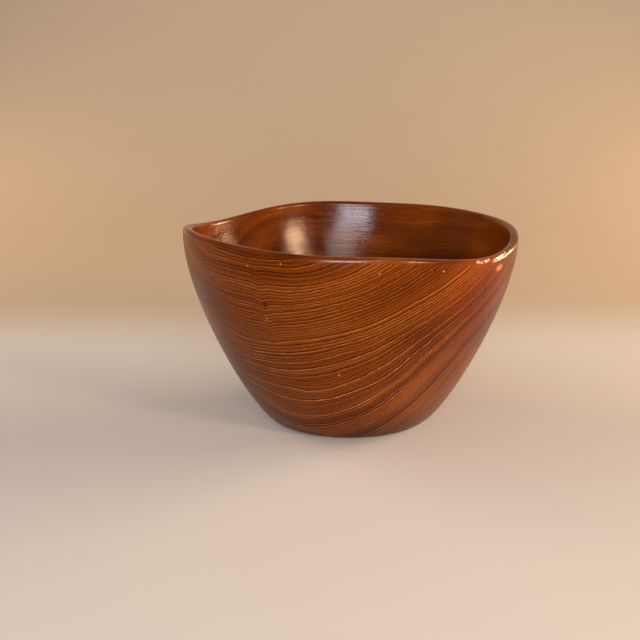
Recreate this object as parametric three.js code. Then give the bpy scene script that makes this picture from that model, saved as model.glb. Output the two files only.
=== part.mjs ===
// A deep bowl turned from one block of teak, with a rim that rises and dips in long waves.
// Millimetres, +Z up. The origin is the middle of the foot, on the surface that the bowl stands on.
// +X is the right-hand side of the bowl and -Y its front.

import * as THREE from "three";

// Outside of the bowl
const footRadius = 70.7;
const toeReach = 17.9;
const toeLift = 3.4;
const rimRadius = 143.7;
const shoulderSwell = 14;
const shoulderDrop = 47;
const rimHeight = 169.2;

// Thickness of the wood
const rimWall = 7.7;
const baseWall = 11;
const floorThickness = 11;
const hollowTurnHeight = 42;

// Shallow recess that leaves a ring to stand on
const footRingWidth = 11;
const recessDepth = 2;
const recessSlope = 3;

// Waves of the rim: lobes round the rim, lift of each crest, and the azimuth of one crest
const rimWaves = [
  { lobes: 1, lift: 2.2, crest: -142 },
  { lobes: 2, lift: 4.6, crest: 51 },
  { lobes: 3, lift: 0.8, crest: -13 },
  { lobes: 4, lift: 2.1, crest: 12.5 },
  { lobes: 5, lift: 0.5, crest: -16.5 },
  { lobes: 6, lift: 0.65, crest: -7 },
];

// How full the curve from the inner wall to the level floor is, at its outer and its middle control point
const floorFullness = 0.7;
const floorLevelShare = 0.5;

// Fineness of the mesh, and of the search for a height on the wall
const azimuthSteps = 96;
const wallRows = 14;
const rimRows = 6;
const floorRows = 6;
const searchSteps = 40;

// The outer wall is one curve, from the edge of the foot to a level that no crest of the rim passes.
const curveTop = rimHeight + rimWaves.reduce((sum, wave) => sum + wave.lift, 0);
const outerWall = new THREE.CubicBezierCurve(
  new THREE.Vector2(footRadius, 0),
  new THREE.Vector2(footRadius + toeReach, toeLift),
  new THREE.Vector2(rimRadius + shoulderSwell, curveTop - shoulderDrop),
  new THREE.Vector2(rimRadius, curveTop),
);

// Height of the rim's crest line at an azimuth, in radians
function rimHeightAt(azimuth) {
  const rise = (wave) => {
    const crest = THREE.MathUtils.degToRad(wave.crest);
    return wave.lift * Math.cos(wave.lobes * (azimuth - crest));
  };
  return rimWaves.reduce((height, wave) => height + rise(wave), rimHeight);
}

// Place on the outer wall, from 0 to 1, where it passes a height
function placeAtHeight(height) {
  let low = 0;
  let high = 1;
  for (let step = 0; step < searchSteps; step += 1) {
    const middle = (low + high) / 2;
    if (outerWall.getPoint(middle).y < height) {
      low = middle;
    } else {
      high = middle;
    }
  }
  return (low + high) / 2;
}

// Direction square to the outer wall, towards the hollow
function inwardAt(place) {
  const along = outerWall.getTangent(place);
  return new THREE.Vector2(-along.y, along.x);
}

// Outer wall from the foot to where the rim's rounding starts
function outerPoints(top) {
  return Array.from({ length: wallRows + 1 }, (_, row) => outerWall.getPoint((top * row) / wallRows));
}

// Half a round over the top of the wall, as wide as the wall is thick
function rimPoints(top) {
  const radius = rimWall / 2;
  const inward = inwardAt(top);
  const upward = outerWall.getTangent(top);
  const centre = outerWall.getPoint(top).addScaledVector(inward, radius);
  return Array.from({ length: rimRows - 1 }, (_, row) => {
    const turn = (Math.PI * (row + 1)) / rimRows;
    const point = centre.clone().addScaledVector(inward, -radius * Math.cos(turn));
    return point.addScaledVector(upward, radius * Math.sin(turn));
  });
}

// Inner wall, which thickens steadily from the rim down to where the hollow turns into the floor
function innerPoints(top, turn) {
  return Array.from({ length: wallRows - 1 }, (_, row) => {
    const share = row / (wallRows - 2);
    const place = THREE.MathUtils.lerp(top, turn, share);
    const thickness = THREE.MathUtils.lerp(rimWall, baseWall, share);
    return outerWall.getPoint(place).addScaledVector(inwardAt(place), thickness);
  });
}

// Floor of the hollow: one curve that leaves the inner wall smoothly and is level in the middle
function floorPoints(wallEnd, downward) {
  const floorLevel = recessDepth + floorThickness;
  const reach = (wallEnd.y - floorLevel) / -downward.y;
  const curve = new THREE.CubicBezierCurve(
    wallEnd,
    wallEnd.clone().addScaledVector(downward, reach * floorFullness),
    new THREE.Vector2(wallEnd.x * floorLevelShare, floorLevel),
    new THREE.Vector2(0, floorLevel),
  );
  return Array.from({ length: floorRows }, (_, row) => curve.getPoint((row + 1) / floorRows));
}

// Underside from the axis to the inner edge of the ring that the bowl stands on
function undersidePoints() {
  const ringInner = footRadius - footRingWidth;
  return [
    new THREE.Vector2(0, recessDepth),
    new THREE.Vector2((ringInner - recessSlope) / 2, recessDepth),
    new THREE.Vector2(ringInner - recessSlope, recessDepth),
    new THREE.Vector2(ringInner, 0),
  ];
}

// The whole section at an azimuth, from the axis under the foot to the axis on the floor
function sectionAt(azimuth) {
  const top = placeAtHeight(rimHeightAt(azimuth) - rimWall / 2);
  const turn = placeAtHeight(hollowTurnHeight);
  const inner = innerPoints(top, turn);
  const wallEnd = inner[inner.length - 1];
  const downward = outerWall.getTangent(turn).negate();
  return [
    ...undersidePoints(),
    ...outerPoints(top),
    ...rimPoints(top),
    ...inner,
    ...floorPoints(wallEnd, downward),
  ];
}

// Sections all round, joined row by row into one closed body with a single point at each pole
function bowlGeometry() {
  const sections = Array.from({ length: azimuthSteps }, (_, step) => {
    const azimuth = (2 * Math.PI * step) / azimuthSteps;
    return sectionAt(azimuth).map(
      (point) => new THREE.Vector3(point.x * Math.cos(azimuth), point.x * Math.sin(azimuth), point.y),
    );
  });
  const rows = sections[0].length - 2;
  const points = [sections[0][0]];
  for (const section of sections) {
    points.push(...section.slice(1, -1));
  }
  points.push(sections[0][rows + 1]);
  const lastPole = points.length - 1;
  const index = (step, row) => 1 + (step % azimuthSteps) * rows + row;
  const faces = [];
  for (let step = 0; step < azimuthSteps; step += 1) {
    faces.push(0, index(step + 1, 0), index(step, 0));
    for (let row = 0; row < rows - 1; row += 1) {
      const here = index(step, row);
      const beside = index(step + 1, row);
      const above = index(step, row + 1);
      const across = index(step + 1, row + 1);
      faces.push(here, beside, across, here, across, above);
    }
    faces.push(lastPole, index(step, rows - 1), index(step + 1, rows - 1));
  }
  const geometry = new THREE.BufferGeometry().setFromPoints(points);
  geometry.setIndex(faces);
  geometry.computeVertexNormals();
  return geometry;
}

// Oiled teak, satin from long use
const teak = new THREE.MeshStandardMaterial({ color: 0x7a3c16, roughness: 0.38, metalness: 0 });

const bowl = new THREE.Mesh(bowlGeometry(), teak);
bowl.name = "bowl";

const model = new THREE.Group();
model.add(bowl);

export default model;
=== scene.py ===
import math

import bpy
import numpy as np
from mathutils import Euler, Matrix, Vector


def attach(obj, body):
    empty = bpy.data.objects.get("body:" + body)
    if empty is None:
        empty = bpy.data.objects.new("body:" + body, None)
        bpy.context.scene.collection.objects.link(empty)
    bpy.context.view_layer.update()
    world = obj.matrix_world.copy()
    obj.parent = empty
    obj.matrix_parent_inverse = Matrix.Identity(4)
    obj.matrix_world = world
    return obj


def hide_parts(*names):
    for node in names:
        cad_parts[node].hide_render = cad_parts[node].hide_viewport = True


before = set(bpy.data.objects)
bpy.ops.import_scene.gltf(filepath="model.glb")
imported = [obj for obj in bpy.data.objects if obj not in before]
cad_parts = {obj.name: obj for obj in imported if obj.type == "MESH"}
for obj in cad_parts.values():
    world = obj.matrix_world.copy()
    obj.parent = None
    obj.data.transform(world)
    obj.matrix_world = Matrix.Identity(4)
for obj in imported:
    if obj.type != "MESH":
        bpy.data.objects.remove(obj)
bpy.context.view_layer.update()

bl_info = {
    "name": "Turned teak bowl",
    "version": (1, 0, 0),
    "blender": (4, 5, 0),
    "location": "3D View > Sidebar > Bowl",
    "description": "Turns a deep teak bowl with a waved rim and sets a plain stage under it",
    "category": "Object",
}

MM = 0.001

# Waves of the rim: lobes round the rim, lift of each crest, and the azimuth of one crest in degrees
RIM_WAVES = (
    (1, 2.2 * MM, -142),
    (2, 4.6 * MM, 51),
    (3, 0.8 * MM, -13),
    (4, 2.1 * MM, 12.5),
    (5, 0.5 * MM, -16.5),
    (6, 0.65 * MM, -7),
)

# Power of the curve that rounds the rim: 2 is a half round, and more is flatter on top
RIM_FULLNESS = 2.5

# Share of the inner wall, from the rim down, over which the step under the rim's lip sets in
LIP_SHARE = 0.08

# Chips of the rim: azimuth and angle round the rim's section from its outer side, their half lengths, all in
# degrees, and their depth
RIM_CHIPS = (
    (-47.6, 34, 1.2, 20, 0.5 * MM),
    (-45.6, 22, 0.9, 22, 0.4 * MM),
    (-43.4, 34, 1.3, 20, 0.55 * MM),
    (-41.6, 50, 0.9, 18, 0.45 * MM),
    (-38.6, 12, 1.6, 16, 0.45 * MM),
    (-35.6, 26, 1.8, 18, 0.7 * MM),
    (-32.6, 42, 1.8, 18, 0.7 * MM),
    (-30.0, 60, 1.2, 16, 0.5 * MM),
)

# Rows of the mesh on each part of the section, and columns round the bowl, which crowd towards the chips
UNDERSIDE_ROWS = 10
CORNER_ROWS = 4
RING_ROWS = 3
OUTER_ROWS = 50
OUTER_CROWDING = 1.5
RIM_ROWS = 22
INNER_ROWS = 34
INNER_CROWDING = 1.5
FLOOR_ROWS = 14
COLUMNS = 640
COLUMN_CROWDING = 0.5
CROWDED_AZIMUTH = -45

# Rows of the rim over which the polish sets in
POLISH_ROWS = 2

# Rows of the table in which a height on the wall is looked up
WALL_TABLE_ROWS = 4001

# The log, in degrees and millimetres: its pith lies nearly level, lower than the foot and to one side of the
# bowl's axis
PITH_AZIMUTH = -28.5
PITH_TILT = 4.9
PITH_ASIDE = 78.6
PITH_ABOVE = -24.7

# Sways of the grain: wave length, turn and phase of its three waves, and how far each wave pushes the rings
# aside or up
SWAYS = (
    (260.0, (25.4, -72.9, 88.9), (55.5, 214.7, 272.5), (15.5, 0, -3.0), (0, 9.6, 0)),
    (70.0, (91.3, -46.2, 117.7), (35.3, 213.4, 14.0), (1.6, 0, -0.4), (0, 0.8, 0)),
)

# Small wobbles of the rings: length along the pith, size across it and depth, in millimetres
RING_WOBBLES = ((90.0, 34.0, 1.6), (26.0, 8.0, 0.35), (6.0, 2.6, 0.24))

# Ring widths in three stages of growth, the radii where they change, and how gently, in millimetres
RING_WIDTHS = (3.6, 2.9, 2.2)
GROWTH_CHANGES = (120.0, 175.0)
GROWTH_EASE = 12.0
MEAN_RING_WIDTH = 2.8

# Uneven years: over how many millimetres ring widths change, and by how much
YEAR_CHANGES = ((23.0, 3.0), (7.0, 0.9))

# Widths on the surface of the dark groove of a ring and of the pale line under it, and the step between them,
# in millimetres in rings of the mean width. The pale line is a painted highlight: the light that the lower
# side of the groove catches.
GROOVE_WIDTH = 0.82
PAINTED_HIGHLIGHT_WIDTH = 0.75
PAINTED_HIGHLIGHT_STEP = -1.0

# Radii between which the lines turn from broad and uneven to fine and nearly alike, in millimetres, and how
# much broader they are inside
EVEN_FROM = (205.0, 235.0)
INNER_BREADTH = 1.35

# Weakest and strongest groove of a ring, each inside and outside the radii where the lines turn even, and the
# share of it left where the surface follows the rings
WEAKEST_GROOVE = (0.2, 0.4)
STRONGEST_GROOVE = (1.2, 0.78)
SHALLOW_SHARE = 0.6

# Wear of the grooves from place to place: the levels of its noise, and the least and most left of a groove
WORN_LEVELS = (-0.5, 0.5)
WORN_SHARES = (0.55, 1.1)

# Least slope that lines are drawn for, because they would be too thin where the surface follows the rings
LEAST_SLOPE = 0.12

# Faint lines for each ring, their width, and the slopes between which they give way to the grooves
LINES_BETWEEN = 1.7
FAINT_WIDTH = 0.85
WIDE_SLOPES = (0.25, 0.6)

# Least and greatest strength of a faint line, the share of it left on steep slopes inside and outside the
# radii where the lines turn even, the shift of their count, and how much the pale line beside one takes off;
# that pale line is a painted highlight, like the one beside each groove
FAINT_STRENGTHS = (0.25, 1.0)
FAINT_SHARES = (0.6, 0.25)
FAINT_SHIFT = 0.37
FAINT_PAINTED_HIGHLIGHT = -0.5

# Sizes of the grain's lumps along the pith and across it, in millimetres
WORN_LUMPS = (22.0, 3.0, 3.0)
STREAK_LUMPS = (26.0, 1.1, 1.1)
PORE_LUMPS = (7.0, 0.7, 0.7)
PATCH_LUMPS = (110.0, 42.0, 42.0)

# Size of the turning marks round the bowl and up its side
TURNING_LUMPS = (38 * MM, 38 * MM, 1.2 * MM)

# Millimetres of growth over which the fine lines and the bands of the wood change
FINE_GROWTH = 1.3
BAND_GROWTH = 11.0

# Levels of the noise between which a pore opens
PORE_LEVELS = (0.3, 0.6)

# Seam of a pin knot on the front of the wall: where it is, its lean, and, in millimetres, half its width,
# half its length and how far it bends the rings
SEAM_AZIMUTH = -120.4
SEAM_HEIGHT = 128 * MM
SEAM_RADIUS = 138 * MM
SEAM_LEAN = 0.1
SEAM_WIDTH = 8.0
SEAM_LENGTH = 42.0
SEAM_BEND = 1.5

# Marks on the wall: azimuth, height, radius, half their width and half their height, and the name of a colour
MARKS = (
    (-119.7, 130.6 * MM, 140 * MM, 2.6 * MM, 5.0 * MM, "late_wood"),
    (-119.9, 118.0 * MM, 137 * MM, 1.9 * MM, 3.0 * MM, "early_wood"),
    (-65.2, 159.4 * MM, 145 * MM, 1.0 * MM, 1.1 * MM, "pore"),
    (-66.2, 160.2 * MM, 145 * MM, 1.1 * MM, 0.9 * MM, "early_wood"),
    (-61.2, 159.2 * MM, 145 * MM, 0.9 * MM, 0.9 * MM, "pore"),
    (-62.1, 158.4 * MM, 145 * MM, 0.9 * MM, 0.9 * MM, "bare_wood"),
    (-124.6, 160.7 * MM, 145 * MM, 1.1 * MM, 1.0 * MM, "pale_line"),
    (-112.8, 165.4 * MM, 145 * MM, 1.1 * MM, 0.9 * MM, "pale_line"),
    (-82.9, 160.1 * MM, 145 * MM, 1.0 * MM, 0.9 * MM, "pale_line"),
    (-95.5, 71.6 * MM, 118 * MM, 1.3 * MM, 1.1 * MM, "pale_line"),
    (-35.3, 151.4 * MM, 144 * MM, 8.0 * MM, 3.8 * MM, "pale_line"),
)

# Ruddy and light sides of the wood: azimuth, height, radius, half their width, height and depth, and how much
# they lift the tone. The redder side is partly redder wood and partly painted warm light; the light side is
# painted light on the lower right of the wall.
RUDDY_AND_WARM_LIGHT_SIDE = (-42, 138 * MM, 143 * MM, 68 * MM, 52 * MM, 120 * MM)
PAINTED_WARM_LIGHT_LIFT = 0.17
# The light side is painted light from the right on the lower wall
PAINTED_LIGHT_SIDE = (-46, 52 * MM, 110 * MM, 90 * MM, 72 * MM, 110 * MM)
PAINTED_LIGHT_LIFT = 0.25

# How deep the marks reach into the wood, and the share of a mark or side that has its full strength
MARK_DEPTH = 7 * MM
MARK_CORE = 0.3

# How much each part of the grain darkens or lightens the wood, where the scale of tones runs from 0 to 1
OPEN_TONE = {
    "groove": -0.62,
    # The pale line is a painted highlight on the lower side of each groove
    "pale": 0.36,
    "faint": -0.52,
    "year": 0.05,
    "fine": 0.06,
    "streak": 0.05,
    "band": 0.11,
    "patch": 0.10,
    "pore": -0.05,
}
POLISHED_TONE = {
    "groove": -0.07,
    "year": 0.03,
    "fine": 0.02,
    "streak": 0.05,
    "band": 0.08,
    "patch": 0.16,
    "turning": 0.05,
}

# How far each part stands out from the surface, in millimetres
OPEN_RELIEF = {"groove": -0.08, "pale": 0.03, "faint": -0.02, "fine": 0.02, "streak": 0.015, "pore": -0.02}
POLISHED_RELIEF = {"groove": -0.012, "streak": 0.02, "turning": 0.03, "patch": 0.3}

# How rough each part leaves the oiled surface
OPEN_SHINE = {"streak": 0.05, "pore": 0.08}
POLISHED_SHINE = {"streak": 0.04, "turning": 0.07}

# Tone and roughness that the grain is added to, outside and where the wood is polished
PLAIN_TONES = (0.5, 0.47)
PLAIN_ROUGHNESS = (0.30, 0.16)
LEVEL_SURFACE = (0.0, 0.0)
OIL_IOR = 1.4

# Bare wood in the chips: size of the lumps at its edge, how far they shift it and their middle level, the
# levels between which the wood turns bare, and how much rougher it is
BARE_LUMPS = (1.3 * MM, 1.3 * MM, 1.3 * MM)
BARE_SHIFT = 1.9
BARE_MIDDLE = 0.9
BARE_LEVELS = (0.25, 0.75)
BARE_ROUGHNESS = 0.35

# Names of the numbers stored on the mesh
POLISHED = "polished"
CHIPPED = "chipped"
RING_RADIUS = "ring_radius"
RING_SLOPE = "ring_slope"

PIECE_NAME = "bowl_body"

# The camera: its place, its pitch in degrees from straight down, and its lens and sensor in millimetres
CAMERA_PLACE = (-26.46 * MM, -925.4 * MM, 338.0 * MM)
CAMERA_PITCH = 74.7
CAMERA_LENS = 60.19
CAMERA_SENSOR = 36

# The stage, in metres: the floor's front edge and where it starts to sweep up, the sweep, the backdrop, and
# the depths between which the floor's colour turns to the backdrop's
FLOOR_FRONT = -3.0
FLOOR_BACK = 0.9
SWEEP_RADIUS = 1.6
SWEEP_ROWS = 16
BACKDROP_TOP = 4.0
STAGE_HALF_WIDTH = 4.0
FLOOR_FADE = (0.18, 0.42)

# The point that most of the lights face, and the strength of the weak light from all sides
AIM = (0, 0, 0.16)
WORLD_STRENGTH = 0.08

# Soft lights: name, the point each faces, azimuth right of the front and elevation in degrees, distance,
# width, height, radiance, the name of its colour, and whether the gloss mirrors it
LIGHTS = (
    ("window", AIM, -5, 7, 2.2, 0.95, 0.7, 18.0, "window_light", True),
    ("high_window", AIM, 6, 23, 2.2, 0.8, 0.5, 6.0, "overhead_light", True),
    ("lamp", AIM, 46, 18, 1.6, 0.26, 0.28, 58.0, "lamp_light", True),
    ("right_soft_box", AIM, 98, 19, 3.4, 2.1, 1.8, 8.4, "side_light", False),
    ("left_soft_box", AIM, -95, 40, 1.9, 1.6, 1.2, 2.1, "overhead_light", False),
    ("top_soft_box", AIM, -8, 52, 1.9, 1.8, 1.4, 0.7, "overhead_light", False),
    ("far_right_lamp", AIM, 119, 6, 1.8, 0.55, 0.6, 30.0, "lamp_light", True),
    ("far_left_lamp", AIM, -125, 15, 1.8, 0.6, 0.6, 12.0, "lamp_light", False),
    ("backdrop_light", (-0.6, 2.5, 1.4), -12, 10, 1.5, 3.2, 1.0, 1.0, "overhead_light", True),
)


def linear(hex_colour):
    """An sRGB hex colour as linear red, green, blue and alpha."""
    parts = [int(hex_colour[i : i + 2], 16) / 255 for i in (1, 3, 5)]
    return tuple(c / 12.92 if c <= 0.04045 else ((c + 0.055) / 1.055) ** 2.4 for c in parts) + (1.0,)


def length(name, description, default):
    """A property that holds a length in metres."""
    return bpy.props.FloatProperty(
        name=name, description=description, default=default, subtype="DISTANCE", unit="LENGTH", precision=5
    )


def share(name, description, default):
    """A property that holds a number from 0 to 1."""
    return bpy.props.FloatProperty(
        name=name, description=description, default=default, min=0, max=1, subtype="FACTOR"
    )


def colour(name, description, default):
    """A property that holds a colour, given as an sRGB hex value."""
    return bpy.props.FloatVectorProperty(
        name=name, description=description, default=linear(default), size=4, min=0, max=1, subtype="COLOR"
    )


class BowlSizes(bpy.types.PropertyGroup):
    """Real sizes of the bowl."""

    foot_radius: length("Foot radius", "Outer radius of the ring that the bowl stands on", 70.7 * MM)
    toe_reach: length("Toe reach", "How far the wall's first control point lies outside the foot", 17.9 * MM)
    toe_lift: length("Toe lift", "How far that point lies above the table", 3.4 * MM)
    rim_radius: length("Rim radius", "Outer radius of the wall at its top", 143.7 * MM)
    shoulder_swell: length("Shoulder swell", "How far its third control point lies outside the rim", 14 * MM)
    shoulder_drop: length("Shoulder drop", "How far that point lies below the top of the wall", 47 * MM)
    rim_height: length("Rim height", "Mean height of the rim", 169.2 * MM)
    rim_wall: length("Rim wall", "Thickness of the wood at the rim", 7.7 * MM)
    base_wall: length("Base wall", "Thickness of the wall where the hollow turns", 11 * MM)
    lip_step: length("Lip step", "How much the wood thickens just under the rim", 0.6 * MM)
    floor_thickness: length("Floor thickness", "Thickness of the wood under the hollow", 11 * MM)
    hollow_turn_height: length("Hollow turn", "Height where the inner wall turns into the floor", 42 * MM)
    foot_ring_width: length("Foot ring width", "Width of the ring that the bowl stands on", 11 * MM)
    recess_depth: length("Recess depth", "Depth of the recess inside that ring", 2 * MM)
    recess_slope: length("Recess slope", "Width of the sloped edge of the recess", 3 * MM)
    recess_round: length("Recess rounding", "Rounding of the edges of the recess", 0.8 * MM)
    floor_fullness: share("Floor fullness", "How far the inner wall runs on before the floor bends it", 0.7)
    floor_level: share("Level floor", "Share of the floor's radius that is nearly level", 0.5)


class TeakFinish(bpy.types.PropertyGroup):
    """Colours of the oiled teak."""

    pore: colour("Pore", "Open pores and the worn groove of a ring", "#260D01")
    late_wood: colour("Late wood", "Dense wood at the end of a ring", "#4A1C03")
    heartwood: colour("Heartwood", "Most of the wood", "#662E06")
    # Redder tint of one side, partly the wood's own colour and partly painted warm light
    ruddy_and_warm_light_tint: colour("Ruddy tint", "What the redder wood of one side is multiplied by", "#FFD850")
    early_wood: colour("Early wood", "Lighter wood at the start of a ring", "#834410")
    # Top of the tone scale: beside a groove it is a painted highlight, and in the marks it is pale specks in
    # the pores
    pale_line: colour("Pale line", "The thin pale line beside a groove", "#AC7043")
    bare_wood: colour("Bare wood", "Wood that a chip has laid open", "#C4A08A")
    dry_gloss: colour("Dry gloss", "Gloss of the open grain outside, seen square on", "#80684C")
    full_gloss: colour("Full gloss", "Gloss of the polished rim and hollow, seen square on", "#FFFFFF")


class StageFinish(bpy.types.PropertyGroup):
    """Colours of the stage and its lights."""

    floor: colour("Floor", "Pale floor", "#BEBCBA")
    backdrop: colour("Backdrop", "Pale warm backdrop", "#B1A391")
    window_light: colour("Window light", "Cool soft light from the front", "#F4F4FF")
    lamp_light: colour("Lamp light", "Warm soft light from the front right", "#FFD0A0")
    side_light: colour("Side light", "Slightly warm soft light from the right", "#FFE8D0")
    overhead_light: colour("Overhead light", "Neutral soft light from above", "#FFF6EE")
    room_light: colour("Room light", "Weak light from all sides", "#FFE8D0")


def bezier(ends, place):
    """Cubic Bezier curve: its four points weighted by (1-t)^3, 3(1-t)^2 t, 3(1-t) t^2 and t^3."""
    t = np.asarray(place)[..., None]
    a, b, c, d = ends
    return (1 - t) ** 3 * a + 3 * (1 - t) ** 2 * t * b + 3 * (1 - t) * t**2 * c + t**3 * d


def bezier_direction(ends, place):
    """Unit direction of that curve: 3(1-t)^2 (b-a) + 6(1-t) t (c-b) + 3 t^2 (d-c), made one long."""
    t = np.asarray(place)[..., None]
    a, b, c, d = ends
    along = 3 * (1 - t) ** 2 * (b - a) + 6 * (1 - t) * t * (c - b) + 3 * t**2 * (d - c)
    return along / np.linalg.norm(along, axis=-1, keepdims=True)


def turned_inward(along):
    """A direction of the section turned a quarter, from the outer wall towards the hollow."""
    return np.stack([-along[..., 1], along[..., 0]], axis=-1)


def column_azimuths():
    """Azimuths of the mesh's columns: an even turn a becomes a - c sin(a - m), so that they crowd at m."""
    even = np.arange(COLUMNS) * 2 * math.pi / COLUMNS
    return even - COLUMN_CROWDING * np.sin(even - math.radians(CROWDED_AZIMUTH))


def rim_heights(sizes, azimuth):
    """Height of the rim: its mean, plus each wave's lift times the cosine of its lobes times the angle."""
    heights = np.full_like(azimuth, sizes.rim_height)
    for lobes, lift, crest in RIM_WAVES:
        heights += lift * np.cos(lobes * (azimuth - math.radians(crest)))
    return heights


def outer_wall_ends(sizes):
    """The four points of the outer wall's curve, up to a level that no crest of the rim passes."""
    top = sizes.rim_height + sum(lift for _, lift, _ in RIM_WAVES)
    return np.array(
        [
            (sizes.foot_radius, 0),
            (sizes.foot_radius + sizes.toe_reach, sizes.toe_lift),
            (sizes.rim_radius + sizes.shoulder_swell, top - sizes.shoulder_drop),
            (sizes.rim_radius, top),
        ]
    )


def place_at_height(ends, height):
    """Place on the wall's curve, from 0 to 1, where it passes a height, read from a fine table of it."""
    places = np.linspace(0, 1, WALL_TABLE_ROWS)
    return np.interp(height, bezier(ends, places)[:, 1], places)


def rounded_corner(before, corner, after, reach):
    """A corner cut back by reach on both sides and joined by the quadratic curve through its three points."""
    start = corner + reach * (before - corner) / np.linalg.norm(before - corner)
    end = corner + reach * (after - corner) / np.linalg.norm(after - corner)
    t = np.linspace(0, 1, CORNER_ROWS)[:, None]
    return (1 - t) ** 2 * start + 2 * (1 - t) * t * corner + t**2 * end


def underside_section(sizes):
    """Underside from the axis to just inside the foot's edge: a level recess, a slope and a flat ring."""
    inner = sizes.foot_radius - sizes.foot_ring_width
    middle = np.array((0, sizes.recess_depth))
    top = np.array((inner - sizes.recess_slope, sizes.recess_depth))
    bottom = np.array((inner, 0))
    edge = np.array((sizes.foot_radius, 0))
    upper = rounded_corner(middle, top, bottom, sizes.recess_round)
    lower = rounded_corner(top, bottom, edge, sizes.recess_round)
    level = middle + (upper[0] - middle) * np.linspace(0, 1, UNDERSIDE_ROWS, endpoint=False)[:, None]
    ring = lower[-1] + (edge - lower[-1]) * np.linspace(0, 1, RING_ROWS + 1, endpoint=False)[1:, None]
    return np.concatenate([level, upper, lower, ring])


def floor_section(sizes, ends, turn, wall_end):
    """Floor of the hollow: a Bezier curve that leaves the inner wall in its own direction and ends level."""
    level = sizes.recess_depth + sizes.floor_thickness
    down = -bezier_direction(ends, turn)
    run = (wall_end[1] - level) / -down[1]
    floor_ends = np.array(
        [
            wall_end,
            wall_end + down * run * sizes.floor_fullness,
            (wall_end[0] * sizes.floor_level, level),
            (0, level),
        ]
    )
    return bezier(floor_ends, np.linspace(0, 1, FLOOR_ROWS + 1)[1:])


def chip_depths(azimuth, rim_angle):
    """Depth of the chips: each is a bell over the azimuth times a bell over the angle round the rim."""
    depth = np.zeros_like(rim_angle)
    for chip_azimuth, chip_angle, half_turn, half_angle, deepest in RIM_CHIPS:
        apart = (azimuth - math.radians(chip_azimuth) + math.pi) % (2 * math.pi) - math.pi
        along = apart[:, None] / math.radians(half_turn)
        over = (rim_angle - math.radians(chip_angle)) / math.radians(half_angle)
        depth += deepest * np.exp(-(along**2) - over**2)
    return depth


def chipped_rim(azimuth, points, centre, up, inward):
    """Points of the wall and rim moved towards the centre of the rim's rounding by the depth of its chips."""
    away = points - centre
    rim_angle = np.arctan2((away * up).sum(-1), -(away * inward).sum(-1))
    depth = chip_depths(azimuth, rim_angle)
    return points - away / np.linalg.norm(away, axis=-1, keepdims=True) * depth[..., None], depth


def section_points(sizes, azimuth):
    """Radius and height of every row of the section at each azimuth, and the depth of the chips there.

    The outer wall is one Bezier curve. The rim joins it to the inner wall with the curve whose two sides,
    raised to the rim's fullness, add up to one. The inner wall lies inside the outer one by a thickness
    that grows steadily downwards, and a little more at once under the rim. The floor is a second Bezier
    curve.
    """
    ends = outer_wall_ends(sizes)
    radius = sizes.rim_wall / 2
    top = place_at_height(ends, rim_heights(sizes, azimuth) - radius)[:, None]
    turn = place_at_height(ends, sizes.hollow_turn_height)
    up = bezier_direction(ends, top)
    inward = turned_inward(up)
    centre = bezier(ends, top) + radius * inward

    outer = bezier(ends, top * (1 - np.linspace(1, 0, OUTER_ROWS) ** OUTER_CROWDING))
    angle = np.linspace(0, math.pi, RIM_ROWS + 1)[1:-1, None]
    across = np.sign(np.cos(angle)) * np.abs(np.cos(angle)) ** (2 / RIM_FULLNESS)
    rim = centre - radius * inward * across + radius * up * np.sin(angle) ** (2 / RIM_FULLNESS)
    outside, chips = chipped_rim(azimuth, np.concatenate([outer, rim], axis=1), centre, up, inward)

    down_share = np.linspace(0, 1, INNER_ROWS) ** INNER_CROWDING
    place = top + (turn - top) * down_share
    lip = sizes.lip_step * (1 - np.exp(-down_share / LIP_SHARE))
    thickness = sizes.rim_wall + (sizes.base_wall - sizes.rim_wall - sizes.lip_step) * down_share + lip
    inner = bezier(ends, place) + turned_inward(bezier_direction(ends, place)) * thickness[:, None]

    count = len(azimuth)
    under = np.broadcast_to(underside_section(sizes), (count, *underside_section(sizes).shape))
    floor = floor_section(sizes, ends, turn, inner[0, -1])
    floor = np.broadcast_to(floor, (count, *floor.shape))
    section = np.concatenate([under, outside, inner, floor], axis=1)
    before, after = under.shape[1], INNER_ROWS + FLOOR_ROWS
    return section, np.pad(chips, ((0, 0), (before, after)))


def bowl_surface(sizes):
    """Points of the bowl by azimuth and row, each section turned to its azimuth, and the chips' depths."""
    azimuth = column_azimuths()
    section, chips = section_points(sizes, azimuth)
    radius = section[..., 0]
    points = [radius * np.cos(azimuth)[:, None], radius * np.sin(azimuth)[:, None], section[..., 1]]
    return np.stack(points, axis=-1), chips


def polished_share(points):
    """0 on the outside and 1 on the rim and in the hollow."""
    rows = points.shape[1]
    rim_start = rows - FLOOR_ROWS - INNER_ROWS - RIM_ROWS
    row_share = np.clip((np.arange(rows) - rim_start + 1) / POLISH_ROWS, 0, 1)
    return np.broadcast_to(row_share, points.shape[:2])


def in_mesh_order(grid):
    """Values of a grid, azimuth by row, in the order of the mesh's points: first pole, columns, last pole."""
    middle = grid[:, 1:-1]
    return np.concatenate([grid[:1, 0], middle.reshape(-1, *grid.shape[2:]), grid[:1, -1]])


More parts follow.
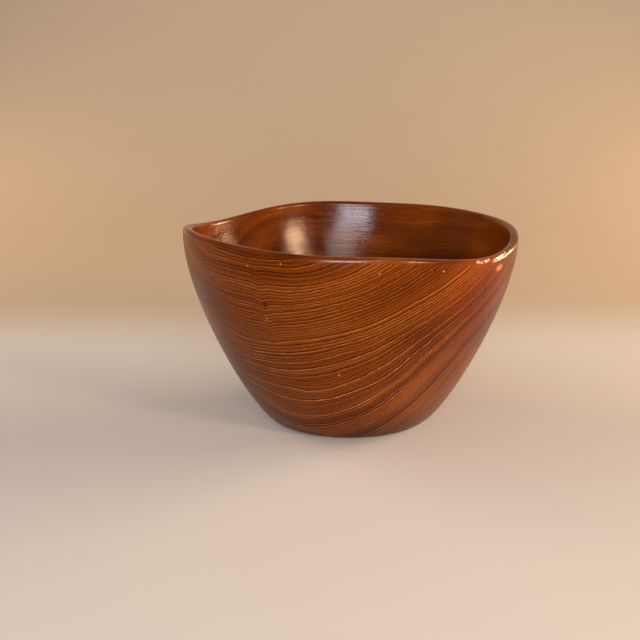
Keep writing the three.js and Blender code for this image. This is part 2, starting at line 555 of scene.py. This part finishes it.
def closed_mesh(name, points):
    """A closed mesh from a grid of points, round by row, whose first and last rows are single poles."""
    columns, rows = points.shape[0], points.shape[1] - 2
    column = np.arange(columns)[:, None]
    beside = (column + 1) % columns
    row = np.arange(rows - 1)[None, :]

    def index(of_column, of_row):
        return 1 + of_column * rows + of_row

    walls = np.stack(
        [index(column, row), index(beside, row), index(beside, row + 1), index(column, row + 1)], axis=-1
    ).reshape(-1, 4)
    last = 1 + columns * rows
    first_pole = np.stack(
        [np.zeros(columns, int), index(beside, 0)[:, 0], index(column, 0)[:, 0]], axis=-1
    )
    last_pole = np.stack(
        [np.full(columns, last), index(column, rows - 1)[:, 0], index(beside, rows - 1)[:, 0]], axis=-1
    )
    faces = walls.tolist() + first_pole.tolist() + last_pole.tolist()
    mesh = bpy.data.meshes.new(name)
    mesh.from_pydata(in_mesh_order(points).tolist(), [], faces)
    mesh.polygons.foreach_set("use_smooth", np.ones(len(mesh.polygons), bool))
    mesh.update()
    return mesh


def store_attribute(mesh, name, values):
    """Stores a number for each point of a mesh."""
    attribute = mesh.attributes.new(name, "FLOAT", "POINT")
    attribute.data.foreach_set("value", values.astype(np.float32))


def log_axes():
    """Rows are the directions along the pith, level across it, and up across it."""
    azimuth, tilt = math.radians(PITH_AZIMUTH), math.radians(PITH_TILT)
    along = (math.cos(azimuth) * math.cos(tilt), math.sin(azimuth) * math.cos(tilt), math.sin(tilt))
    aside = (-math.sin(azimuth), math.cos(azimuth), 0)
    return np.array([along, aside, np.cross(along, aside)])


def ring_radius(points):
    """Distance of points from the pith, in millimetres, in a log whose rings sway.

    The points are turned to the log's axes and measured from the pith. Each sway adds three sines of the
    place along its own turned axes, which push the point across the pith. The radius is what is left.
    """
    place = points / MM @ log_axes().T - (0, PITH_ASIDE, PITH_ABOVE)
    across = place[:, 1:].copy()
    for wave_length, turns, phases, aside, upward in SWAYS:
        turn = np.array(Euler(np.radians(turns)).to_matrix())
        waves = np.sin(place @ turn.T * 2 * math.pi / wave_length + np.radians(phases))
        across += waves @ np.transpose([aside, upward])
    return np.linalg.norm(across, axis=-1)


def ring_slope(points, normals):
    """How squarely the surface cuts the rings: the radius's slope along it, 0 where it follows a ring."""
    step = 0.2 * MM
    ahead = [ring_radius(points + step * axis) - ring_radius(points - step * axis) for axis in np.eye(3)]
    slope = np.stack(ahead, axis=-1) / (2 * step / MM)
    along = slope - (slope * normals).sum(-1, keepdims=True) * normals
    return np.linalg.norm(along, axis=-1)


def store_grain(mesh):
    """Stores the growth rings' radius and slope on each point of a mesh."""
    points = np.empty(len(mesh.vertices) * 3)
    mesh.vertices.foreach_get("co", points)
    normals = np.empty_like(points)
    mesh.vertex_normals.foreach_get("vector", normals)
    points, normals = points.reshape(-1, 3), normals.reshape(-1, 3)
    store_attribute(mesh, RING_RADIUS, ring_radius(points))
    store_attribute(mesh, RING_SLOPE, ring_slope(points, normals))


def add_node(tree, kind, inputs=None, **settings):
    """Adds a node: settings are its properties, and inputs gives each socket a value or a link."""
    node = tree.nodes.new(kind)
    for name, value in settings.items():
        setattr(node, name, value)
    for socket, value in (inputs or {}).items():
        if isinstance(value, bpy.types.NodeSocket):
            tree.links.new(value, node.inputs[socket])
        else:
            node.inputs[socket].default_value = value
    return node


def calculate(tree, operation, *values):
    """The result of one sum on numbers or links."""
    return add_node(tree, "ShaderNodeMath", dict(enumerate(values)), operation=operation).outputs[0]


def fade(tree, value, start, end, at_start, at_end):
    """A number that goes smoothly from at_start to at_end while value goes from start to end."""
    inputs = {0: value, 1: start, 2: end, 3: at_start, 4: at_end}
    return add_node(tree, "ShaderNodeMapRange", inputs, interpolation_type="SMOOTHSTEP").outputs[0]


def blend_colours(tree, amount, first, second, blend="MIX"):
    """Two colours mixed, or blended in another way, by an amount from 0 to 1."""
    inputs = {0: amount, 6: first, 7: second}
    return add_node(tree, "ShaderNodeMix", inputs, data_type="RGBA", blend_type=blend).outputs[2]


def attribute(tree, name):
    """A number stored on the mesh."""
    return add_node(tree, "ShaderNodeAttribute", attribute_name=name).outputs["Fac"]


def weighed(tree, start, parts, weights):
    """A number plus each named part times its weight."""
    total = start
    for name, weight in weights.items():
        total = calculate(tree, "MULTIPLY_ADD", parts[name], weight, total)
    return total


def in_log(tree, place):
    """Points turned to the log's axes, X along the pith, in millimetres."""
    turn = Matrix(log_axes().tolist()).to_euler()
    inputs = {"Vector": place, "Rotation": turn, "Scale": (1 / MM,) * 3}
    return add_node(tree, "ShaderNodeMapping", inputs).outputs[0]


def stretched_noise(tree, vector, sizes, detail=2.0, roughness=0.5):
    """Noise from about -1 to 1 whose lumps have the given sizes along the vector's axes."""
    scale = {"Vector": vector, "Scale": tuple(1 / size for size in sizes)}
    scaled = add_node(tree, "ShaderNodeMapping", scale).outputs[0]
    inputs = {"Vector": scaled, "Scale": 1.0, "Detail": detail, "Roughness": roughness}
    return add_node(tree, "ShaderNodeTexNoise", inputs, noise_dimensions="3D", normalize=False).outputs[0]


def ring_noise(tree, radius, size, detail=0.0):
    """Noise from about -1 to 1 that is the same all round a ring and changes over so many millimetres."""
    inputs = {"W": radius, "Scale": 1 / size, "Detail": detail}
    return add_node(tree, "ShaderNodeTexNoise", inputs, noise_dimensions="1D", normalize=False).outputs[0]


def wall_frame(azimuth, height, radius):
    """A point on the wall, and the directions across the wall and outwards there."""
    turn = math.radians(azimuth)
    point = Vector((radius * math.cos(turn), radius * math.sin(turn), height))
    return point, Vector((-math.sin(turn), math.cos(turn), 0)), Vector((math.cos(turn), math.sin(turn), 0))


def measured(tree, place, point, direction):
    """Distance of each place from a point along a direction, in the direction's own units."""
    from_point = add_node(tree, "ShaderNodeVectorMath", {0: place, 1: point}, operation="SUBTRACT").outputs[0]
    inputs = {0: from_point, 1: direction}
    return add_node(tree, "ShaderNodeVectorMath", inputs, operation="DOT_PRODUCT").outputs[1]


def seam_bend(tree, place):
    """How far the seam of the pin knot bends the rings: a ridge line across, faded out at both ends."""
    point, across, _ = wall_frame(SEAM_AZIMUTH, SEAM_HEIGHT, SEAM_RADIUS)
    lean = (across + Vector((0, 0, SEAM_LEAN))) / MM
    aside = calculate(tree, "ABSOLUTE", measured(tree, place, point, lean))
    sides = calculate(tree, "MULTIPLY_ADD", aside, -SEAM_BEND / SEAM_WIDTH, SEAM_BEND)
    ridge = calculate(tree, "MAXIMUM", sides, 0)
    along = calculate(tree, "ABSOLUTE", measured(tree, place, point, Vector((0, 0, 1 / MM))))
    return calculate(tree, "MULTIPLY", ridge, fade(tree, along, SEAM_LENGTH / 2, SEAM_LENGTH, 1, 0))


def mark_nearness(tree, place, azimuth, height, radius, half_width, half_height, depth):
    """1 at the middle of a mark on the wall, 0 past its edge."""
    point, across, outward = wall_frame(azimuth, height, radius)
    aside = measured(tree, place, point, across / half_width)
    upward = measured(tree, place, point, Vector((0, 0, 1 / half_height)))
    through = measured(tree, place, point, outward / depth)
    inputs = {"X": aside, "Y": upward, "Z": through}
    flat = add_node(tree, "ShaderNodeCombineXYZ", inputs).outputs[0]
    distance = add_node(tree, "ShaderNodeVectorMath", {0: flat}, operation="LENGTH").outputs[1]
    return fade(tree, distance, MARK_CORE, 1, 1, 0)


def ring_count(tree, radius):
    """How many rings lie inside a radius: stages of growth, each with its ring width, and uneven years."""
    uneven = radius
    for size, depth in YEAR_CHANGES:
        uneven = calculate(tree, "MULTIPLY_ADD", ring_noise(tree, radius, size), depth, uneven)
    count = calculate(tree, "DIVIDE", uneven, RING_WIDTHS[0])
    for start, before, after in zip(GROWTH_CHANGES, RING_WIDTHS, RING_WIDTHS[1:]):
        past = calculate(tree, "SMOOTH_MAX", calculate(tree, "SUBTRACT", uneven, start), 0.0, GROWTH_EASE)
        count = calculate(tree, "MULTIPLY_ADD", past, 1 / after - 1 / before, count)
    return count


def ring_line(tree, count, slope, width, step):
    """1 on the line of each ring, 0 beside it; width and step are millimetres in rings of the mean width."""
    from_middle = calculate(tree, "SUBTRACT", calculate(tree, "FRACT", count), 0.5)
    beside = calculate(tree, "MULTIPLY_ADD", slope, -step / MEAN_RING_WIDTH, from_middle)
    distance = calculate(tree, "ABSOLUTE", beside)
    edge = calculate(tree, "MULTIPLY", slope, width / MEAN_RING_WIDTH)
    return fade(tree, distance, 0, edge, 1, 0)


def ring_random(tree, count, shift, low, high):
    """A number from low to high for each ring, picked at random."""
    index = calculate(tree, "FLOOR", calculate(tree, "ADD", count, shift))
    value = add_node(tree, "ShaderNodeTexWhiteNoise", {"W": index}, noise_dimensions="1D").outputs[0]
    return fade(tree, value, 0, 1, low, high)


def groove_strength(tree, log, radius, count, steep):
    """Strength of each ring's groove: a random one for the ring, times the wear and the share left there."""
    weakest = fade(tree, radius, *EVEN_FROM, *WEAKEST_GROOVE)
    strongest = fade(tree, radius, *EVEN_FROM, *STRONGEST_GROOVE)
    worn = fade(tree, stretched_noise(tree, log, WORN_LUMPS, detail=1.0), *WORN_LEVELS, *WORN_SHARES)
    strength = calculate(tree, "MULTIPLY", ring_random(tree, count, 0.0, weakest, strongest), worn)
    return calculate(tree, "MULTIPLY", strength, fade(tree, steep, 0, 1, SHALLOW_SHARE, 1.0))


def faint_lines(tree, radius, count, steep, broad):
    """The faint dark lines between the grooves, less the pale line beside each, which is a painted highlight,
    times their strength.
    """
    between = calculate(tree, "MULTIPLY_ADD", count, LINES_BETWEEN, FAINT_SHIFT)
    width = LINES_BETWEEN * FAINT_WIDTH
    dark = ring_line(tree, between, broad, width, 0.0)
    pale = ring_line(tree, between, broad, width, LINES_BETWEEN * PAINTED_HIGHLIGHT_STEP)
    share_left = fade(tree, steep, 0, 1, 1.0, fade(tree, radius, *EVEN_FROM, *FAINT_SHARES))
    strength = calculate(tree, "MULTIPLY", ring_random(tree, between, 0.0, *FAINT_STRENGTHS), share_left)
    return calculate(tree, "MULTIPLY", calculate(tree, "MULTIPLY_ADD", pale, FAINT_PAINTED_HIGHLIGHT, dark), strength)


def grain_parts(tree, place, log):
    """The parts of the grain by name, each as a link."""
    radius = calculate(tree, "ADD", attribute(tree, RING_RADIUS), seam_bend(tree, place))
    for along, across, depth in RING_WOBBLES:
        wobble = stretched_noise(tree, log, (along, across, across), detail=1.0)
        radius = calculate(tree, "MULTIPLY_ADD", wobble, depth, radius)
    slope = calculate(tree, "MAXIMUM", attribute(tree, RING_SLOPE), LEAST_SLOPE)
    count = ring_count(tree, radius)
    steep = fade(tree, slope, *WIDE_SLOPES, 0, 1)
    broad = calculate(tree, "MULTIPLY", slope, fade(tree, radius, *EVEN_FROM, INNER_BREADTH, 1.0))
    strength = groove_strength(tree, log, radius, count, steep)
    return {
        "groove": calculate(tree, "MULTIPLY", ring_line(tree, count, broad, GROOVE_WIDTH, 0.0), strength),
        # The pale line under each groove is a painted highlight, the light that its lower side catches
        "pale": calculate(tree, "MULTIPLY", ring_line(tree, count, broad, PAINTED_HIGHLIGHT_WIDTH, PAINTED_HIGHLIGHT_STEP), strength),
        "faint": faint_lines(tree, radius, count, steep, broad),
        "year": ring_random(tree, count, 0.5, -1.0, 1.0),
        "fine": ring_noise(tree, radius, FINE_GROWTH, detail=2.0),
        "band": ring_noise(tree, radius, BAND_GROWTH, detail=1.0),
        "streak": stretched_noise(tree, log, STREAK_LUMPS, detail=3.0, roughness=0.6),
        "pore": fade(tree, stretched_noise(tree, log, PORE_LUMPS, detail=1.0), *PORE_LEVELS, 0, 1),
        "patch": stretched_noise(tree, log, PATCH_LUMPS),
        "turning": stretched_noise(tree, place, TURNING_LUMPS),
    }


def teak_colour(tree, tone, finish):
    """The teak's colour for a tone from 0 to 1."""
    ramp = add_node(tree, "ShaderNodeValToRGB", {0: tone})
    stops = (
        (0.0, finish.pore),
        (0.3, finish.late_wood),
        (0.5, finish.heartwood),
        (0.7, finish.early_wood),
        (1.0, finish.pale_line),
    )
    while len(ramp.color_ramp.elements) < len(stops):
        ramp.color_ramp.elements.new(0.5)
    for element, (position, stop_colour) in zip(ramp.color_ramp.elements, stops):
        element.position = position
        element.color = stop_colour
    return ramp.outputs[0]


def oiled_turned_teak(finish):
    """Solid teak, turned, sanded and oiled, then handled for years.

    Outside, the soft early wood of each ring has worn down to a groove, which shows as a dark line with a
    pale one under it; the pale line is a painted highlight, the light caught by the groove's lower side. One
    side is tinted redder and lifted with painted warm light, and the lower right of the wall is lifted with
    painted light. On the rim and in the hollow the oil fills the grain and gives a smoother gloss.
    """
    material = bpy.data.materials.new("oiled_turned_teak")
    material.use_nodes = True
    tree = material.node_tree
    tree.nodes.clear()
    place = add_node(tree, "ShaderNodeTexCoord").outputs["Object"]
    parts = grain_parts(tree, place, in_log(tree, place))
    polished = attribute(tree, POLISHED)

    def finished(starts, open_weights, polished_weights):
        outside = weighed(tree, starts[0], parts, open_weights)
        smooth = weighed(tree, starts[1], parts, polished_weights)
        return fade(tree, polished, 0, 1, outside, smooth)

    tone = finished(PLAIN_TONES, OPEN_TONE, POLISHED_TONE)
    # Painted light: the redder side gets painted warm light as well as a redder tint, and the light side is
    # painted light on the lower right of the wall
    ruddy_and_lit_near = mark_nearness(tree, place, *RUDDY_AND_WARM_LIGHT_SIDE)
    for near, lift in ((ruddy_and_lit_near, PAINTED_WARM_LIGHT_LIFT), (mark_nearness(tree, place, *PAINTED_LIGHT_SIDE), PAINTED_LIGHT_LIFT)):
        tone = calculate(tree, "MULTIPLY_ADD", near, lift, tone)
    wood = teak_colour(tree, tone, finish)
    wood = blend_colours(tree, ruddy_and_lit_near, wood, finish.ruddy_and_warm_light_tint, "MULTIPLY")
    for azimuth, height, radius, half_width, half_height, colour_name in MARKS:
        near = mark_nearness(tree, place, azimuth, height, radius, half_width, half_height, MARK_DEPTH)
        wood = blend_colours(tree, near, wood, getattr(finish, colour_name))
    lumps = stretched_noise(tree, place, BARE_LUMPS)
    uneven = calculate(tree, "MULTIPLY_ADD", lumps, BARE_SHIFT, BARE_MIDDLE)
    bare = fade(tree, calculate(tree, "MULTIPLY", uneven, attribute(tree, CHIPPED)), *BARE_LEVELS, 0, 1)
    wood = blend_colours(tree, bare, wood, finish.bare_wood)

    relief = finished(LEVEL_SURFACE, OPEN_RELIEF, POLISHED_RELIEF)
    bump = add_node(tree, "ShaderNodeBump", {"Height": relief, "Distance": MM, "Strength": 1.0})
    oiled = finished(PLAIN_ROUGHNESS, OPEN_SHINE, POLISHED_SHINE)
    inputs = {
        "Base Color": wood,
        "Roughness": calculate(tree, "MULTIPLY_ADD", bare, BARE_ROUGHNESS, oiled),
        "IOR": OIL_IOR,
        "Specular Tint": blend_colours(tree, polished, finish.dry_gloss, finish.full_gloss),
        "Normal": bump.outputs[0],
    }
    shader = add_node(tree, "ShaderNodeBsdfPrincipled", inputs)
    add_node(tree, "ShaderNodeOutputMaterial", {"Surface": shader.outputs[0]})
    return material


def matt_painted_board(finish):
    """Matt painted board of the stage, pale near the bowl and warmer towards the back, without any gloss."""
    material = bpy.data.materials.new("matt_painted_board")
    material.use_nodes = True
    tree = material.node_tree
    tree.nodes.clear()
    place = add_node(tree, "ShaderNodeTexCoord").outputs["Object"]
    depth = add_node(tree, "ShaderNodeSeparateXYZ", {0: place}).outputs["Y"]
    behind = fade(tree, depth, *FLOOR_FADE, 0, 1)
    tint = blend_colours(tree, behind, finish.floor, finish.backdrop)
    inputs = {"Base Color": tint, "Roughness": 0.9, "Specular IOR Level": 0.1}
    shader = add_node(tree, "ShaderNodeBsdfPrincipled", inputs)
    add_node(tree, "ShaderNodeOutputMaterial", {"Surface": shader.outputs[0]})
    return material


class BOWL_OT_turn_bowl(bpy.types.Operator):
    """Turns the bowl: one closed body of solid teak"""

    bl_idname = "bowl.turn_bowl"
    bl_label = "Turn the bowl"

    def execute(self, context):
        scene = context.scene
        points, chips = bowl_surface(scene.bowl_sizes)
        mesh = closed_mesh(PIECE_NAME, points)
        store_attribute(mesh, POLISHED, in_mesh_order(polished_share(points)))
        store_attribute(mesh, CHIPPED, in_mesh_order(chips / chips.max()))
        store_grain(mesh)
        mesh.materials.append(oiled_turned_teak(scene.teak_finish))
        body = bpy.data.objects.new(PIECE_NAME, mesh)
        scene.collection.objects.link(body)
        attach(body, "root")
        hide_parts("bowl")
        return {"FINISHED"}


def stage_surface():
    """A floor that sweeps up into a backdrop: a flat run, a quarter circle and a wall, wide to both sides."""
    angle = np.linspace(0, math.pi / 2, SWEEP_ROWS)
    curve = np.stack([np.sin(angle), 1 - np.cos(angle)], axis=-1) * SWEEP_RADIUS + (FLOOR_BACK, 0)
    front = [(FLOOR_FRONT, 0.0)]
    wall = [(FLOOR_BACK + SWEEP_RADIUS, BACKDROP_TOP)]
    profile = np.concatenate([front, curve, wall])
    grid = np.zeros((2, len(profile), 3))
    grid[..., 0] = np.array([-STAGE_HALF_WIDTH, STAGE_HALF_WIDTH])[:, None]
    grid[..., 1:] = profile
    return grid


def set_floor(scene):
    """Adds the floor and backdrop as one sheet."""
    grid = stage_surface()
    rows = grid.shape[1]
    row = np.arange(rows - 1)
    faces = np.stack([row, row + rows, row + rows + 1, row + 1], axis=-1)
    mesh = bpy.data.meshes.new("studio_sweep")
    mesh.from_pydata(grid.reshape(-1, 3).tolist(), [], faces.tolist())
    mesh.polygons.foreach_set("use_smooth", np.ones(len(mesh.polygons), bool))
    mesh.materials.append(matt_painted_board(scene.stage_finish))
    sweep = bpy.data.objects.new("studio_sweep", mesh)
    scene.collection.objects.link(sweep)


def set_camera(scene):
    """Adds the camera at the photograph's viewing angle."""
    camera = bpy.data.objects.new("camera", bpy.data.cameras.new("camera"))
    camera.data.lens = CAMERA_LENS
    camera.data.sensor_width = CAMERA_SENSOR
    camera.location = CAMERA_PLACE
    camera.rotation_euler = (math.radians(CAMERA_PITCH), 0, 0)
    scene.collection.objects.link(camera)
    scene.camera = camera


def set_light(scene, name, aim, azimuth, elevation, distance, width, height, radiance, tint, mirrored):
    """Adds a rectangular soft light that faces a point, with radiance times pi times its area in watts."""
    data = bpy.data.lights.new(name, "AREA")
    data.shape = "RECTANGLE"
    data.size = width
    data.size_y = height
    data.energy = radiance * math.pi * width * height
    data.color = tint[:3]
    turn, rise = math.radians(azimuth), math.radians(elevation)
    toward = Vector((math.sin(turn) * math.cos(rise), -math.cos(turn) * math.cos(rise), math.sin(rise)))
    light = bpy.data.objects.new(name, data)
    light.location = Vector(aim) + toward * distance
    light.rotation_euler = toward.to_track_quat("Z", "Y").to_euler()
    light.visible_camera = False
    light.visible_glossy = mirrored
    scene.collection.objects.link(light)


def set_world(scene):
    """Adds a plain, weak light from all sides."""
    world = bpy.data.worlds.new("studio")
    world.use_nodes = True
    background = world.node_tree.nodes["Background"]
    background.inputs["Color"].default_value = scene.stage_finish.room_light
    background.inputs["Strength"].default_value = WORLD_STRENGTH
    scene.world = world


class BOWL_OT_set_stage(bpy.types.Operator):
    """Sets a plain pale floor, soft studio lights and the camera"""

    bl_idname = "bowl.set_stage"
    bl_label = "Set the stage"

    def execute(self, context):
        scene = context.scene
        set_floor(scene)
        set_camera(scene)
        for *settings, tint_name, mirrored in LIGHTS:
            set_light(scene, *settings, getattr(scene.stage_finish, tint_name), mirrored)
        set_world(scene)
        scene.view_settings.view_transform = "Standard"
        return {"FINISHED"}


class BOWL_PT_sidebar(bpy.types.Panel):
    """Lists the operators and their sizes and colours"""

    bl_idname = "BOWL_PT_sidebar"
    bl_label = "Turned teak bowl"
    bl_space_type = "VIEW_3D"
    bl_region_type = "UI"
    bl_category = "Bowl"

    def draw(self, context):
        scene = context.scene
        groups = (
            (BOWL_OT_turn_bowl.bl_idname, (scene.bowl_sizes, scene.teak_finish)),
            (BOWL_OT_set_stage.bl_idname, (scene.stage_finish,)),
        )
        for operator, holders in groups:
            box = self.layout.box()
            box.operator(operator)
            for holder in holders:
                for name in holder.bl_rna.properties.keys():
                    if name not in {"rna_type", "name"}:
                        box.prop(holder, name)


CLASSES = (BowlSizes, TeakFinish, StageFinish, BOWL_OT_turn_bowl, BOWL_OT_set_stage, BOWL_PT_sidebar)


def register():
    for cls in CLASSES:
        bpy.utils.register_class(cls)
    bpy.types.Scene.bowl_sizes = bpy.props.PointerProperty(type=BowlSizes)
    bpy.types.Scene.teak_finish = bpy.props.PointerProperty(type=TeakFinish)
    bpy.types.Scene.stage_finish = bpy.props.PointerProperty(type=StageFinish)


def unregister():
    del bpy.types.Scene.stage_finish
    del bpy.types.Scene.teak_finish
    del bpy.types.Scene.bowl_sizes
    for cls in reversed(CLASSES):
        bpy.utils.unregister_class(cls)


def main():
    register()
    bpy.ops.bowl.turn_bowl()
    bpy.ops.bowl.set_stage()


if __name__ == "__main__":
    main()
